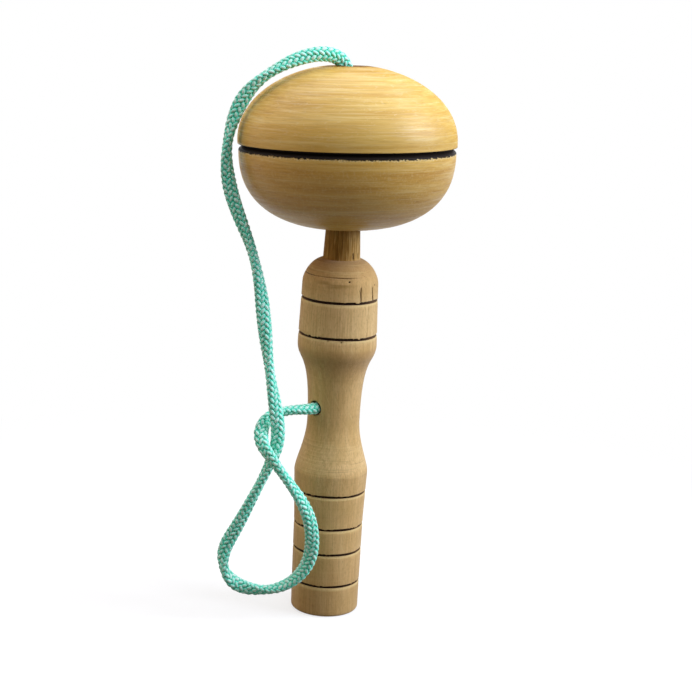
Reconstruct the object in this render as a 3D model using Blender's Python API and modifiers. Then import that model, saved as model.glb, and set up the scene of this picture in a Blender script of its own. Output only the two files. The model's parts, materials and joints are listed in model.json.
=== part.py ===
"""Cup and ball of the peg and socket kind: a turned handle, a turned head and the cord that ties them.

The handle is one turned piece that ends in a tapered peg. The head is a flattened ball with a socket
bored from below, and it sits on the peg. Metres, +Z up, origin at the middle of the handle's foot.
"""

import math

import bmesh
import bpy
import numpy as np
from mathutils import Vector
from mathutils.geometry import interpolate_bezier

# Handle: lengths run up from the foot, one section after the other
FOOT_RADIUS = 0.0141
FOOT_ROUNDING = 0.0012
GRIP_RADIUS = 0.01445
GRIP_LENGTH = 0.0400
RIM_RADIUS = 0.0152
RIM_TAPER_LENGTH = 0.0200
COVE_LENGTH = 0.0220
COVE_RIM_HANDLE = 0.0040
COVE_WAIST_HANDLE = 0.0095
WAIST_RADIUS = 0.0108
FLARE_LENGTH = 0.0325
FLARE_WAIST_HANDLE = 0.0290
FLARE_BARREL_HANDLE = 0.0082
BARREL_RADIUS = 0.0162
BARREL_LENGTH = 0.0251
BARREL_TOP_RADIUS = 0.01545
SHOULDER_RISE = 0.00975
SHOULDER_FULLNESS = 1.65
PEG_ROOT_RADIUS = 0.00755
PEG_LENGTH = 0.0478
PEG_TIP_RADIUS = 0.00535
PEG_TIP_ROUNDING = 0.0016

# Lines turned into the handle: up from the foot, and down from the top of the barrel
GRIP_GROOVES_UP = (0.0132, 0.0272, 0.0381, 0.0524)
BARREL_GROOVES_DOWN = (0.0208, 0.0062)
GRIP_LINE_WIDTH = 0.0011
BARREL_LINE_WIDTH = 0.0014
LINE_DEPTH = 0.0006

# Head: heights are from the middle of the painted groove
UPPER_RADIUS = 0.0437
UPPER_RISE = 0.0295
UPPER_LIP = 0.0031
LOWER_RADIUS = 0.0433
LOWER_DROP = 0.0324
LOWER_FULLNESS = 2.50
GROOVE_WIDTH = 0.0022
GROOVE_DEPTH = 0.0020
GROOVE_DEEPEST = 0.0004
SOCKET_RADIUS = 0.0134
SOCKET_DEPTH = 0.04685
SOCKET_ROUNDING = 0.0017
CEILING_ROUNDING = 0.0030

# Cord, its holes and the knot that keeps it in the head
CORD_DIAMETER = 0.0053
HEAD_HOLE_CLEARANCE = 0.0006
HEAD_MOUTH_RADIUS = 0.0084
HEAD_MOUTH_ROUNDING = 0.0095
HANDLE_HOLE_CLEARANCE = 0.0005
HANDLE_HOLE_HEIGHT = 0.0881
HANDLE_HOLE_AZIMUTH = math.radians(225)
HANDLE_HOLE_DEPTH = 0.0106
KNOT_RADIUS = 0.0070
KNOT_HEIGHT = 0.0116
KNOT_FULLNESS = 3.0

# Pieces that touch keep this gap
SEAT_GAP = 0.0003

# The head sits loose on the peg's tip and hangs plumb while the handle leans
HEAD_LEAN_BACK = math.radians(-1.1)
HEAD_LEAN_LEFT = math.radians(-1.8)

# The cord's way from the knot in the head to the hole in the handle, in millimetres
CORD_ROUTE_MM = (
    (-0.4, 0.2, 209.4), (-0.5, 0.3, 213.4), (-0.6, 0.4, 217.2), (-1.4, -1.2, 223.8),
    (-4.9, -4.8, 228.8), (-9.5, -7.9, 230.3), (-17.6, -10.6, 229.2), (-29.9, -12.7, 223.2),
    (-39.3, -13.4, 214.7), (-44.8, -13.6, 203.3), (-46.7, -13.8, 189.6), (-43.7, -14.5, 173.5),
    (-35.5, -16.1, 153.6), (-31.3, -17.8, 138.3), (-28, -20.5, 117.7), (-23.4, -23.6, 93.3),
    (-21.8, -24.4, 77.6), (-24.2, -23.5, 69), (-29.8, -22.4, 55.6), (-37.9, -20.9, 38.3),
    (-41.9, -20.5, 27.8), (-40.7, -20.4, 20.2), (-36.2, -20.3, 15.4), (-28.5, -20.7, 13.5),
    (-19.7, -21.9, 15), (-12.4, -23.5, 19.9), (-7.5, -25.6, 27.6), (-5.9, -28.5, 38.9),
    (-8.8, -31.1, 52), (-16.1, -32, 63.6), (-23.9, -30.3, 73.2), (-27.5, -27.4, 78),
    (-28, -22.4, 83.1), (-25.6, -18.3, 86), (-18.9, -14, 88), (-8.4, -8.4, 88.1),
    (-4.4, -4.4, 88.1), (-0.4, -0.4, 88.1),
)

# Facets
TURNED_STEPS = 48
KNOT_STEPS = 20
CURVE_POINTS = 9
DOME_POINTS = 15
CORD_BEVEL_RESOLUTION = 2
ROUNDING_POINTS = 5
BELL_POINTS = 7
DRILL_SIDES = 24
MERGE_DISTANCE = 0.00001

MILLIMETRE = 0.001


def clear_scene():
    """Take every object out of the file that the script runs in."""
    for thing in list(bpy.data.objects):
        bpy.data.objects.remove(thing, do_unlink=True)


def new_collection(name):
    """A collection of that name in the scene, empty."""
    old = bpy.data.collections.get(name)
    if old:
        bpy.data.collections.remove(old)
    collection = bpy.data.collections.new(name)
    bpy.context.scene.collection.children.link(collection)
    return collection


def plain_material(name, colour, roughness):
    """A Principled material of one colour."""
    material = bpy.data.materials.new(name)
    material.use_nodes = True
    shader = material.node_tree.nodes["Principled BSDF"]
    shader.inputs["Base Color"].default_value = (*colour, 1.0)
    shader.inputs["Roughness"].default_value = roughness
    shader.inputs["Metallic"].default_value = 0.0
    return material


def superellipse(inner, outer, base, rise, fullness, points):
    """Quarter of a superellipse as (radius, height), from the outer radius at base to the inner one."""
    arc = []
    for step in range(points):
        angle = math.pi / 2 * step / (points - 1)
        across = max(math.cos(angle), 0.0) ** (2 / fullness)
        up = max(math.sin(angle), 0.0) ** (2 / fullness)
        arc.append((inner + (outer - inner) * across, base + rise * up))
    return arc


def eased(start, end, start_handle, end_handle):
    """A Bezier between two (radius, height) points that leaves and arrives upright."""
    knots = (
        Vector((start[0], start[1], 0)),
        Vector((start[0], start[1] + start_handle, 0)),
        Vector((end[0], end[1] - end_handle, 0)),
        Vector((end[0], end[1], 0)),
    )
    return [(p.x, p.y) for p in interpolate_bezier(*knots, CURVE_POINTS)]


def radius_at(profile, height):
    """Radius of a rising profile at a height."""
    return float(np.interp(height, [p[1] for p in profile], [p[0] for p in profile]))


def with_line(profile, height, width):
    """The rising profile with one fine V-shaped line turned into it."""
    low = height - width / 2
    high = height + width / 2
    below = [p for p in profile if p[1] < low]
    above = [p for p in profile if p[1] > high]
    line = [
        (radius_at(profile, low), low),
        (radius_at(profile, height) - LINE_DEPTH, height),
        (radius_at(profile, high), high),
    ]
    return below + line + above


def turned(name, profile, closed, steps, material, collection):
    """A turned piece: a profile of (radius, height) points, listed down its outer side, swept about Z."""
    mesh = bpy.data.meshes.new(name)
    shape = bmesh.new()
    corners = [shape.verts.new((radius, 0.0, height)) for radius, height in profile]
    for first, second in zip(corners, corners[1:]):
        shape.edges.new((first, second))
    if closed:
        shape.edges.new((corners[-1], corners[0]))
    shape.to_mesh(mesh)
    shape.free()
    piece = bpy.data.objects.new(name, mesh)
    collection.objects.link(piece)
    mesh.materials.append(material)
    screw = piece.modifiers.new("Turn", "SCREW")
    screw.axis = "Z"
    screw.angle = math.tau
    screw.steps = steps
    screw.render_steps = steps
    screw.use_merge_vertices = True
    screw.merge_threshold = MERGE_DISTANCE
    screw.use_smooth_shade = True
    return piece


def handle_side():
    """The handle's outer side, from the foot's rounding up to the root of the peg."""
    grip_top = GRIP_LENGTH
    rim = grip_top + RIM_TAPER_LENGTH
    waist = rim + COVE_LENGTH
    barrel_bottom = waist + FLARE_LENGTH
    barrel_top = barrel_bottom + BARREL_LENGTH
    side = [(FOOT_RADIUS, FOOT_ROUNDING), (GRIP_RADIUS, grip_top)]
    side += eased((RIM_RADIUS, rim), (WAIST_RADIUS, waist), COVE_RIM_HANDLE, COVE_WAIST_HANDLE)
    flare = eased(
        (WAIST_RADIUS, waist), (BARREL_RADIUS, barrel_bottom), FLARE_WAIST_HANDLE, FLARE_BARREL_HANDLE
    )
    side += flare[1:]
    side += superellipse(
        PEG_ROOT_RADIUS, BARREL_TOP_RADIUS, barrel_top, SHOULDER_RISE, SHOULDER_FULLNESS, CURVE_POINTS
    )
    for height in GRIP_GROOVES_UP:
        side = with_line(side, height, GRIP_LINE_WIDTH)
    for drop in BARREL_GROOVES_DOWN:
        side = with_line(side, barrel_top - drop, BARREL_LINE_WIDTH)
    return side


def rounding(centre, radius, first, last, points=ROUNDING_POINTS):
    """Arc of (radius, height) points about a centre, from one angle in degrees to another."""
    arc = []
    for step in range(points):
        angle = math.radians(first + (last - first) * step / (points - 1))
        arc.append((centre[0] + radius * math.cos(angle), centre[1] + radius * math.sin(angle)))
    return arc


def make_handle(side, material, parts, cutters):
    """The handle with its peg and the blind hole that holds the cord."""
    peg_root = side[-1][1]
    peg_tip = peg_root + PEG_LENGTH
    tip_centre = (PEG_TIP_RADIUS - PEG_TIP_ROUNDING, peg_tip - PEG_TIP_ROUNDING)
    foot_centre = (FOOT_RADIUS - FOOT_ROUNDING, FOOT_ROUNDING)
    profile = [(0.0, peg_tip)]
    profile += rounding(tip_centre, PEG_TIP_ROUNDING, 90, 0)
    profile += side[::-1]
    profile += rounding(foot_centre, FOOT_ROUNDING, 0, -90)[1:]
    profile.append((0.0, 0.0))
    handle = turned("handle", profile, False, TURNED_STEPS, material, parts)

    surface = radius_at(side, HANDLE_HOLE_HEIGHT)
    reach = HANDLE_HOLE_DEPTH + surface
    middle = surface - HANDLE_HOLE_DEPTH + reach / 2
    outward = Vector((math.cos(HANDLE_HOLE_AZIMUTH), math.sin(HANDLE_HOLE_AZIMUTH), 0.0))
    bpy.ops.mesh.primitive_cylinder_add(
        vertices=DRILL_SIDES,
        radius=CORD_DIAMETER / 2 + HANDLE_HOLE_CLEARANCE,
        depth=reach,
        location=outward * middle + Vector((0, 0, HANDLE_HOLE_HEIGHT)),
        rotation=(0, math.pi / 2, HANDLE_HOLE_AZIMUTH),
    )
    drill = bpy.context.object
    drill.name = "cord_hole_drill"
    drill.hide_render = True
    drill.display_type = "WIRE"
    for holder in list(drill.users_collection):
        holder.objects.unlink(drill)
    cutters.objects.link(drill)
    cut = handle.modifiers.new("Cord hole", "BOOLEAN")
    cut.operation = "DIFFERENCE"
    cut.object = drill
    return handle


def head_profile():
    """The head's closed profile about its groove: down the outside, then up the socket and the hole."""
    bore = CORD_DIAMETER / 2 + HEAD_HOLE_CLEARANCE
    dome = superellipse(0.0, UPPER_RADIUS, UPPER_LIP, UPPER_RISE, 2.0, DOME_POINTS)
    mouth_height = UPPER_LIP + UPPER_RISE * math.sqrt(1 - (HEAD_MOUTH_RADIUS / UPPER_RADIUS) ** 2)
    outside = [(HEAD_MOUTH_RADIUS, mouth_height)]
    outside += [p for p in dome[::-1] if p[0] > HEAD_MOUTH_RADIUS]
    outside += [
        (UPPER_RADIUS, GROOVE_WIDTH / 2),
        (UPPER_RADIUS - GROOVE_DEPTH, GROOVE_DEEPEST),
        (LOWER_RADIUS, -GROOVE_WIDTH / 2),
    ]

    rim_radius = SOCKET_RADIUS + SOCKET_ROUNDING
    share = (1 - (rim_radius / LOWER_RADIUS) ** LOWER_FULLNESS) ** (1 / LOWER_FULLNESS)
    rim_height = -LOWER_DROP * share
    bowl = superellipse(0.0, LOWER_RADIUS, 0.0, -LOWER_DROP, LOWER_FULLNESS, DOME_POINTS)
    outside += [p for p in bowl if p[0] > rim_radius and p[1] < -GROOVE_WIDTH]
    ceiling = rim_height + SOCKET_DEPTH
    inside = rounding((rim_radius, rim_height + SOCKET_ROUNDING), SOCKET_ROUNDING, 270, 180)
    corner = (SOCKET_RADIUS - CEILING_ROUNDING, ceiling - CEILING_ROUNDING)
    inside += rounding(corner, CEILING_ROUNDING, 0, 90)

    bell_radius = bore + HEAD_MOUTH_ROUNDING
    opened = math.acos((bell_radius - HEAD_MOUTH_RADIUS) / HEAD_MOUTH_ROUNDING)
    bell_height = mouth_height - HEAD_MOUTH_ROUNDING * math.sin(opened)
    inside.append((bore, ceiling))
    bell_end = 180 - math.degrees(opened)
    bell = rounding((bell_radius, bell_height), HEAD_MOUTH_ROUNDING, 180, bell_end, BELL_POINTS)
    inside += bell[:-1]
    return outside + inside, ceiling


def make_knot(material, parts):
    """The knot at the cord's end, as the plain body that it fills."""
    top = superellipse(0.0, KNOT_RADIUS, 0.0, KNOT_HEIGHT / 2, KNOT_FULLNESS, CURVE_POINTS)
    bottom = [(radius, -height) for radius, height in top]
    return turned("head_knot", top[::-1] + bottom[1:], False, KNOT_STEPS, material, parts)


def smooth_route(points, spacing):
    """Evenly spaced points on the natural cubic spline through the route's own points."""
    knots = np.array(points, dtype=float)
    along = np.concatenate([[0.0], np.cumsum(np.linalg.norm(np.diff(knots, axis=0), axis=1))])
    span = np.diff(along)
    count = len(knots)
    system = np.eye(count)
    right = np.zeros((count, 3))
    for i in range(1, count - 1):
        system[i, i - 1:i + 2] = span[i - 1], 2 * (span[i - 1] + span[i]), span[i]
        right[i] = 6 * ((knots[i + 1] - knots[i]) / span[i] - (knots[i] - knots[i - 1]) / span[i - 1])
    second = np.linalg.solve(system, right)
    at = np.linspace(0.0, along[-1], round(along[-1] / spacing) + 1)
    k = np.clip(np.searchsorted(along, at, side="right") - 1, 0, count - 2)
    gap = span[k][:, None]
    before = (along[k + 1] - at)[:, None]
    after = (at - along[k])[:, None]
    curve = (second[k] * before**3 + second[k + 1] * after**3) / (6 * gap)
    curve += (knots[k] / gap - second[k] * gap / 6) * before
    curve += (knots[k + 1] / gap - second[k + 1] * gap / 6) * after
    return curve


def make_cord(material, parts):
    """The cord as a plain tube along its route."""
    route = np.array(CORD_ROUTE_MM) * MILLIMETRE
    points = smooth_route(route, CORD_DIAMETER)
    curve = bpy.data.curves.new("cord", "CURVE")
    curve.dimensions = "3D"
    curve.bevel_depth = CORD_DIAMETER / 2
    curve.bevel_resolution = CORD_BEVEL_RESOLUTION
    curve.use_fill_caps = True
    spline = curve.splines.new("POLY")
    spline.points.add(len(points) - 1)
    for spot, place in zip(spline.points, points):
        spot.co = (*place, 1.0)
    cord = bpy.data.objects.new("cord", curve)
    parts.objects.link(cord)
    curve.materials.append(material)
    return cord


def main():
    """Build the toy with its head seated on the peg."""
    clear_scene()
    parts = new_collection("cup_and_ball")
    cutters = new_collection("cutters")
    bare_wood = plain_material("bare_wood", (0.46, 0.31, 0.14), 0.75)
    lacquered_wood = plain_material("lacquered_wood", (0.56, 0.36, 0.10), 0.35)
    green_cord = plain_material("green_cord", (0.13, 0.62, 0.38), 0.5)

    side = handle_side()
    make_handle(side, bare_wood, parts, cutters)
    make_cord(green_cord, parts)

    seat = bpy.data.objects.new("head_seat", None)
    seat.location.z = side[-1][1] + PEG_LENGTH + SEAT_GAP
    seat.rotation_euler = (HEAD_LEAN_BACK, HEAD_LEAN_LEFT, 0.0)
    parts.objects.link(seat)
    knot = make_knot(green_cord, parts)
    knot.parent = seat
    knot.location.z = KNOT_HEIGHT / 2
    profile, ceiling = head_profile()
    head = turned("head", profile, True, TURNED_STEPS, lacquered_wood, parts)
    head.parent = seat
    head.location.z = KNOT_HEIGHT + SEAT_GAP - ceiling


main()
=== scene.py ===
# %% [markdown]
# # A cup and ball with a peg and a socket
# The toy is a turned handle of bare wood that ends in a peg, a turned head under clear lacquer with
# a black line round its middle, and a green braided cord that ties the two together. The packed
# solids already give every size and joint, so this lesson only dresses them. Each piece is built in
# metres in the frame of the solids, and the handle, the head and the knot ride on the body whose
# solid they stand for.

# %% Load the frame
import json
import math

import bpy
import numpy as np
from mathutils import Matrix, Vector
from mathutils.geometry import interpolate_bezier

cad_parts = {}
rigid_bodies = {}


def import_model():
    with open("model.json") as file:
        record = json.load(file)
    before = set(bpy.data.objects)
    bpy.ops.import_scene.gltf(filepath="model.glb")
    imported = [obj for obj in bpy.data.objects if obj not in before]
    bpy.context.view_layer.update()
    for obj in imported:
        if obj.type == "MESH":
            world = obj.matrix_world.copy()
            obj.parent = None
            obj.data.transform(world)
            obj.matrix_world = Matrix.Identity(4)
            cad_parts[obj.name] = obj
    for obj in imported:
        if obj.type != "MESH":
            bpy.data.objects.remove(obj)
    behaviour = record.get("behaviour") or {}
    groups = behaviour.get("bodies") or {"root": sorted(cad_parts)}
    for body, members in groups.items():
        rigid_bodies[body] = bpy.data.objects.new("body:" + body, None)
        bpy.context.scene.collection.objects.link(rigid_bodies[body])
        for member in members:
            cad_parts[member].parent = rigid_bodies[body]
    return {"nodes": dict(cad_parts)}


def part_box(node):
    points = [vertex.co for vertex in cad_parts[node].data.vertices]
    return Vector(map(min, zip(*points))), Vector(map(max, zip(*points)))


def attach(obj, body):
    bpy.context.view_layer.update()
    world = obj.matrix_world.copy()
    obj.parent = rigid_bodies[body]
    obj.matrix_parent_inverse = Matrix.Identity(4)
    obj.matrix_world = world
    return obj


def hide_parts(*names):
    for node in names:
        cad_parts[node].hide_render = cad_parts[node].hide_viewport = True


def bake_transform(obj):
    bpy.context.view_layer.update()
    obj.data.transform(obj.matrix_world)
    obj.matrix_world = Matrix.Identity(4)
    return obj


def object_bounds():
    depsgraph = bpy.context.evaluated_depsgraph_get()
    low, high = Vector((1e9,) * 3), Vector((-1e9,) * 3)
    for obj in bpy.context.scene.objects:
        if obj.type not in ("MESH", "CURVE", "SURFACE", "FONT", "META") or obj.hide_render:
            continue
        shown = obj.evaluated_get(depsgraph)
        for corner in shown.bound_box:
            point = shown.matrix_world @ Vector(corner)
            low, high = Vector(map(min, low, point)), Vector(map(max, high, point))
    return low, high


for thing in list(bpy.data.objects):
    bpy.data.objects.remove(thing, do_unlink=True)
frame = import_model()
CAD_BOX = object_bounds()
MM = 0.001
box_size = [round(side / MM, 1) for side in CAD_BOX[1] - CAD_BOX[0]]
print("solids:", sorted(frame["nodes"]), "box in mm:", box_size)

# %% [markdown]
# ## The camera
# The toy is seen from a little above, leaning to the right in the picture. It stands upright here,
# so the camera rolls the other way. The camera could be dragged into place by eye, but lining up
# the outlines of the head and the handle leaves nothing to guess.

# %% Camera at the photograph's viewing angle
CAMERA_PLACE = Vector((0.00365, -0.6281, 0.2547))
CAMERA_TILT_DOWN = math.radians(12.712)
CAMERA_ROLL = math.radians(2.992)
CAMERA_VIEW_ANGLE = math.radians(24.81)

lens = bpy.data.cameras.new("photo_camera")
lens.angle = CAMERA_VIEW_ANGLE
camera = bpy.data.objects.new("photo_camera", lens)
bpy.context.scene.collection.objects.link(camera)
tilt = Matrix.Rotation(math.pi / 2 - CAMERA_TILT_DOWN, 4, "X")
roll = Matrix.Rotation(CAMERA_ROLL, 4, "Z")
camera.matrix_world = Matrix.Translation(CAMERA_PLACE) @ tilt @ roll
bpy.context.scene.camera = camera
print("camera", round(CAMERA_PLACE.xy.length, 3), "m from the toy's axis")

# %% [markdown]
# ## The cord's line
# The cord comes up out of the head, falls over its left side, twists once round itself, makes a
# loop and goes into a hole in the handle's waist. A curve object could follow that, but a natural
# spline through a short list of points is easier to keep at the one length that a real cord has.

# %% Route of the cord
BRAID_LEAD_MM = 18.4
BRAID_STEPS_PER_LEAD = 36
CORD_ROUTE_MM = (
    (-0.4, 0.2, 209.4), (-0.5, 0.3, 213.4), (-0.6, 0.4, 217.2), (-1.4, -1.2, 223.8),
    (-4.9, -4.8, 228.8), (-9.5, -7.9, 230.3), (-17.6, -10.6, 229.2), (-29.9, -12.7, 223.2),
    (-39.3, -13.4, 214.7), (-44.8, -13.6, 203.3), (-46.7, -13.8, 189.6), (-43.7, -14.5, 173.5),
    (-35.5, -16.1, 153.6), (-31.3, -17.8, 138.3), (-28, -20.5, 117.7), (-23.4, -23.6, 93.3),
    (-21.8, -24.4, 77.6), (-24.2, -23.5, 69), (-29.8, -22.4, 55.6), (-37.9, -20.9, 38.3),
    (-41.9, -20.5, 27.8), (-40.7, -20.4, 20.2), (-36.2, -20.3, 15.4), (-28.5, -20.7, 13.5),
    (-19.7, -21.9, 15), (-12.4, -23.5, 19.9), (-7.5, -25.6, 27.6), (-5.9, -28.5, 38.9),
    (-8.8, -31.1, 52), (-16.1, -32, 63.6), (-23.9, -30.3, 73.2), (-27.5, -27.4, 78),
    (-28, -22.4, 83.1), (-25.6, -18.3, 86), (-18.9, -14, 88), (-8.4, -8.4, 88.1),
    (-4.4, -4.4, 88.1), (-0.4, -0.4, 88.1),
)


def distance_along(line):
    """How far along a line each of its points lies."""
    return np.concatenate([[0.0], np.cumsum(np.linalg.norm(np.diff(line, axis=0), axis=1))])


def smooth_line(points, spacing):
    """Evenly spaced points on the natural cubic spline through a list of points."""
    knots = np.array(points, dtype=float)
    along = distance_along(knots)
    gaps = np.diff(along)
    count = len(knots)
    system = np.eye(count)
    right = np.zeros((count, 3))
    for i in range(1, count - 1):
        system[i, i - 1:i + 2] = gaps[i - 1], 2 * (gaps[i - 1] + gaps[i]), gaps[i]
        bend = (knots[i + 1] - knots[i]) / gaps[i] - (knots[i] - knots[i - 1]) / gaps[i - 1]
        right[i] = 6 * bend
    second = np.linalg.solve(system, right)
    at = np.linspace(0.0, along[-1], round(along[-1] / spacing) + 1)
    k = np.clip(np.searchsorted(along, at, side="right") - 1, 0, count - 2)
    gap = gaps[k][:, None]
    before = (along[k + 1] - at)[:, None]
    after = (at - along[k])[:, None]
    curve = (second[k] * before**3 + second[k + 1] * after**3) / (6 * gap)
    curve += (knots[k] / gap - second[k] * gap / 6) * before
    curve += (knots[k + 1] / gap - second[k + 1] * gap / 6) * after
    return curve


cord_line = smooth_line(CORD_ROUTE_MM, BRAID_LEAD_MM / BRAID_STEPS_PER_LEAD)
cord_reach = distance_along(cord_line)
CORD_LENGTH = float(cord_reach[-1]) * MM
print("cord length", round(CORD_LENGTH, 4), "m on", len(cord_line), "points")

# %% [markdown]
# ## Meshes from numbers
# The pieces are made of many small rings. The Screw and Array modifiers sweep rings too, but here
# each ring carries its own marks, so numpy works out the corners. Values that a finish needs, such
# as the depth of a cut, travel with the mesh as point attributes.


# %% Mesh helpers
def new_piece(name, corners, faces, values=None):
    """A smooth mesh object in the row frame, with float values kept on its points."""
    mesh = bpy.data.meshes.new(name)
    mesh.from_pydata(corners.tolist(), [], faces)
    for title, numbers in (values or {}).items():
        store = mesh.attributes.new(title, "FLOAT", "POINT")
        store.data.foreach_set("value", np.asarray(numbers, dtype=np.float32).ravel())
    mesh.shade_smooth()
    mesh.validate()
    piece = bpy.data.objects.new(name, mesh)
    bpy.context.scene.collection.objects.link(piece)
    return piece


def ring_faces(rings, sides, first=0, closed=False):
    """Quads between rings of corners, as corner numbers. An open row of rings gets two end caps."""
    ring = np.arange(rings if closed else rings - 1)[:, None]
    side = np.arange(sides)[None, :]
    here = first + ring * sides
    there = first + (ring + 1) % rings * sides
    after = (side + 1) % sides
    quads = np.stack([here + side, here + after, there + after, there + side], axis=-1)
    faces = quads.reshape(-1, 4).tolist()
    if closed:
        return faces
    last = first + (rings - 1) * sides
    return faces + [list(range(first, first + sides))[::-1], list(range(last, last + sides))]


def unit(vectors):
    """Vectors of length one."""
    return vectors / np.linalg.norm(vectors, axis=-1, keepdims=True)


print("mesh helpers ready")

# %% [markdown]
# ## The braid
# The cord is a braid of sixteen flat strands, eight wound each way, each going over two and under
# two, which makes columns of little Vs. A bump texture could fake them, but the cord bends through
# every direction, so real strands are wound round a plain core. Each follows a helix that rises
# where the strand lies on top and sinks where it dives under. The braid is a little flat and turns
# over as it hangs, so its section is an oval that turns by a quarter from each listed place to the
# next.

# %% Directions across the cord
TURN_SMOOTHING = 25
QUARTER_TURNS_MM = (
    32, 53, 68, 85, 105, 133, 157, 177, 200, 222, 255, 267, 277, 290, 320, 349, 373, 396,
)


def carried_frame(line):
    """Two directions across a line that are carried along it without twisting."""
    ahead = unit(np.gradient(line, axis=0))
    across = np.empty_like(line)
    across[0] = unit(np.cross(ahead[0], (0.0, 1.0, 0.0)))
    for i in range(1, len(line)):
        across[i] = unit(across[i - 1] - np.dot(across[i - 1], ahead[i]) * ahead[i])
    return across, np.cross(ahead, across)


def turning_frame(line, quarter_turns):
    """Two directions across a line: the broad one starts facing the viewer and then turns over."""
    ahead = unit(np.gradient(line, axis=0))
    level = unit(np.cross(ahead, (0.0, 1.0, 0.0)))
    quarters = np.interp(distance_along(line), quarter_turns, np.arange(len(quarter_turns)))
    turn = np.pad(quarters * math.pi / 2, TURN_SMOOTHING // 2, mode="edge")
    turn = np.convolve(turn, np.full(TURN_SMOOTHING, 1 / TURN_SMOOTHING), mode="valid")[:, None]
    across = np.cos(turn) * level + np.sin(turn) * np.cross(ahead, level)
    return across, np.cross(ahead, across)


def tube_rings(centres, side_way, up_way, half_width, half_height, sides):
    """Rings of corners round a line, wider one way than the other, with the first corner on top."""
    turn = (np.arange(sides) / sides + 0.25) * math.tau
    sideways = np.cos(turn)[None, :, None] * (half_width * side_way)[:, None, :]
    upward = np.sin(turn)[None, :, None] * (half_height * up_way)[:, None, :]
    return (centres[:, None, :] + sideways + upward).reshape(-1, 3), np.cos(turn)


print("oval turns by a quarter at", len(QUARTER_TURNS_MM), "places")

# %% Braided tube
STRANDS_EACH_WAY = 8
COLUMNS_EACH_WAY = STRANDS_EACH_WAY // 2
STRAND_SIDES, CORE_SIDES = 6, 10
STRAND_WIDTH_SHARE, STRAND_THICKNESS_SHARE = 0.30, 0.19
STRAND_WAVE_SHARE, CORE_SHARE = 0.085, 0.32
DARKEST_TONE = 0.35
CORD_BROAD_MM, CORD_THIN_MM, CORD_ROUND_END_MM = 6.1, 4.2, 10.0
CORD_SEED = 11


def braided_tube(name, line, ways, broad, thin, lead, seed):
    """A braid of flat strands round a core, along a line in millimetres, on an oval section."""
    chance = np.random.default_rng(seed)
    across, other = ways
    along = distance_along(line)
    diameter = float(np.mean(broad + thin)) / 2
    wave = STRAND_WAVE_SHARE * diameter
    half_thick = STRAND_THICKNESS_SHARE * diameter / 2
    half_wide = STRAND_WIDTH_SHARE * diameter / 2
    half_broad = (broad / 2 - half_thick - wave)[:, None]
    half_thin = (thin / 2 - half_thick - wave)[:, None]
    corners, faces = [], []
    values = {"strand_tone": [], "strand_edge": [], "strand_reach": [], "strand_lift": []}

    def keep(rings, edges, sides, tone, rise):
        faces.extend(ring_faces(len(line), sides, sum(len(part) for part in corners)))
        corners.append(rings)
        values["strand_tone"].append(np.full(len(rings), tone))
        values["strand_edge"].append(np.tile(edges, len(line)))
        values["strand_reach"].append(np.repeat(along, sides))
        values["strand_lift"].append(np.repeat(0.5 + 0.5 * rise, sides))

    core_broad, core_thin = CORE_SHARE * broad[:, None], CORE_SHARE * thin[:, None]
    rings, _ = tube_rings(line, across, other, core_broad, core_thin, CORE_SIDES)
    # the core gets the lowest tone and lift, so it is painted dark as painted shade between the
    # strands
    keep(rings, np.zeros(CORE_SIDES), CORE_SIDES, 0.0, np.full(len(line), -1.0))
    for hand in (1, -1):
        for strand in range(STRANDS_EACH_WAY):
            turn = hand * math.tau * along / lead + math.tau * strand / STRANDS_EACH_WAY
            rise = hand * np.cos(COLUMNS_EACH_WAY * turn - math.pi / 4)
            broad_way, thin_way = np.cos(turn)[:, None] * across, np.sin(turn)[:, None] * other
            outward = unit(broad_way / half_broad + thin_way / half_thin)
            centres = line + half_broad * broad_way + half_thin * thin_way
            centres = centres + (wave * rise)[:, None] * outward
            way = unit(np.gradient(centres, axis=0))
            aside = unit(np.cross(outward, way))
            upward = np.cross(way, aside)
            rings, edges = tube_rings(centres, aside, upward, half_wide, half_thick, STRAND_SIDES)
            tone = DARKEST_TONE + (1 - DARKEST_TONE) * chance.random()
            keep(rings, edges, STRAND_SIDES, tone, rise)
    values = {title: np.concatenate(parts) for title, parts in values.items()}
    return new_piece(name, np.concatenate(corners) * MM, faces, values)


from_ends = np.minimum(cord_reach, cord_reach[-1] - cord_reach)
flat = np.clip(from_ends / CORD_ROUND_END_MM - 1, 0, 1)
round_end = (CORD_BROAD_MM + CORD_THIN_MM) / 2
cord = braided_tube(
    "braided_cord", cord_line, turning_frame(cord_line, QUARTER_TURNS_MM),
    round_end + flat * (CORD_BROAD_MM - round_end), round_end + flat * (CORD_THIN_MM - round_end),
    BRAID_LEAD_MM, CORD_SEED,
)
print("braided cord:", len(cord.data.polygons), "faces")

# %% [markdown]
# ## How the head sits
# The socket is wider than the peg, so the head rests on the peg's tip and hangs plumb while the
# handle leans. The head and its knot are modelled upright, and one matrix sets them on the tip with
# that small lean. That keeps the finish of the head level with its groove.

# %% Seat of the head
SEAT_GAP = 0.3
PEG_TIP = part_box("handle")[1].z / MM
HEAD_LEAN_BACK, HEAD_LEAN_LEFT = math.radians(-1.1), math.radians(-1.8)
lean = Matrix.Rotation(HEAD_LEAN_LEFT, 4, "Y") @ Matrix.Rotation(HEAD_LEAN_BACK, 4, "X")
HEAD_SEAT = Matrix.Translation((0, 0, (PEG_TIP + SEAT_GAP) * MM)) @ lean
print("head sits", round(PEG_TIP + SEAT_GAP, 2), "mm up")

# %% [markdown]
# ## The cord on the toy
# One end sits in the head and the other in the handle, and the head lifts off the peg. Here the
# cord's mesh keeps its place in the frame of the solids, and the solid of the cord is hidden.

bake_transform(cord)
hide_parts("cord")

# %% [markdown]
# ## The knot in the socket
# A knot under the socket's ceiling keeps the cord in the head. A ball with a rope texture would do
# from afar, but the socket is open when the head is off the peg. So the knot is the same braid,
# pulled thinner and led along a closed overhand path, which a short formula gives.

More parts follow.
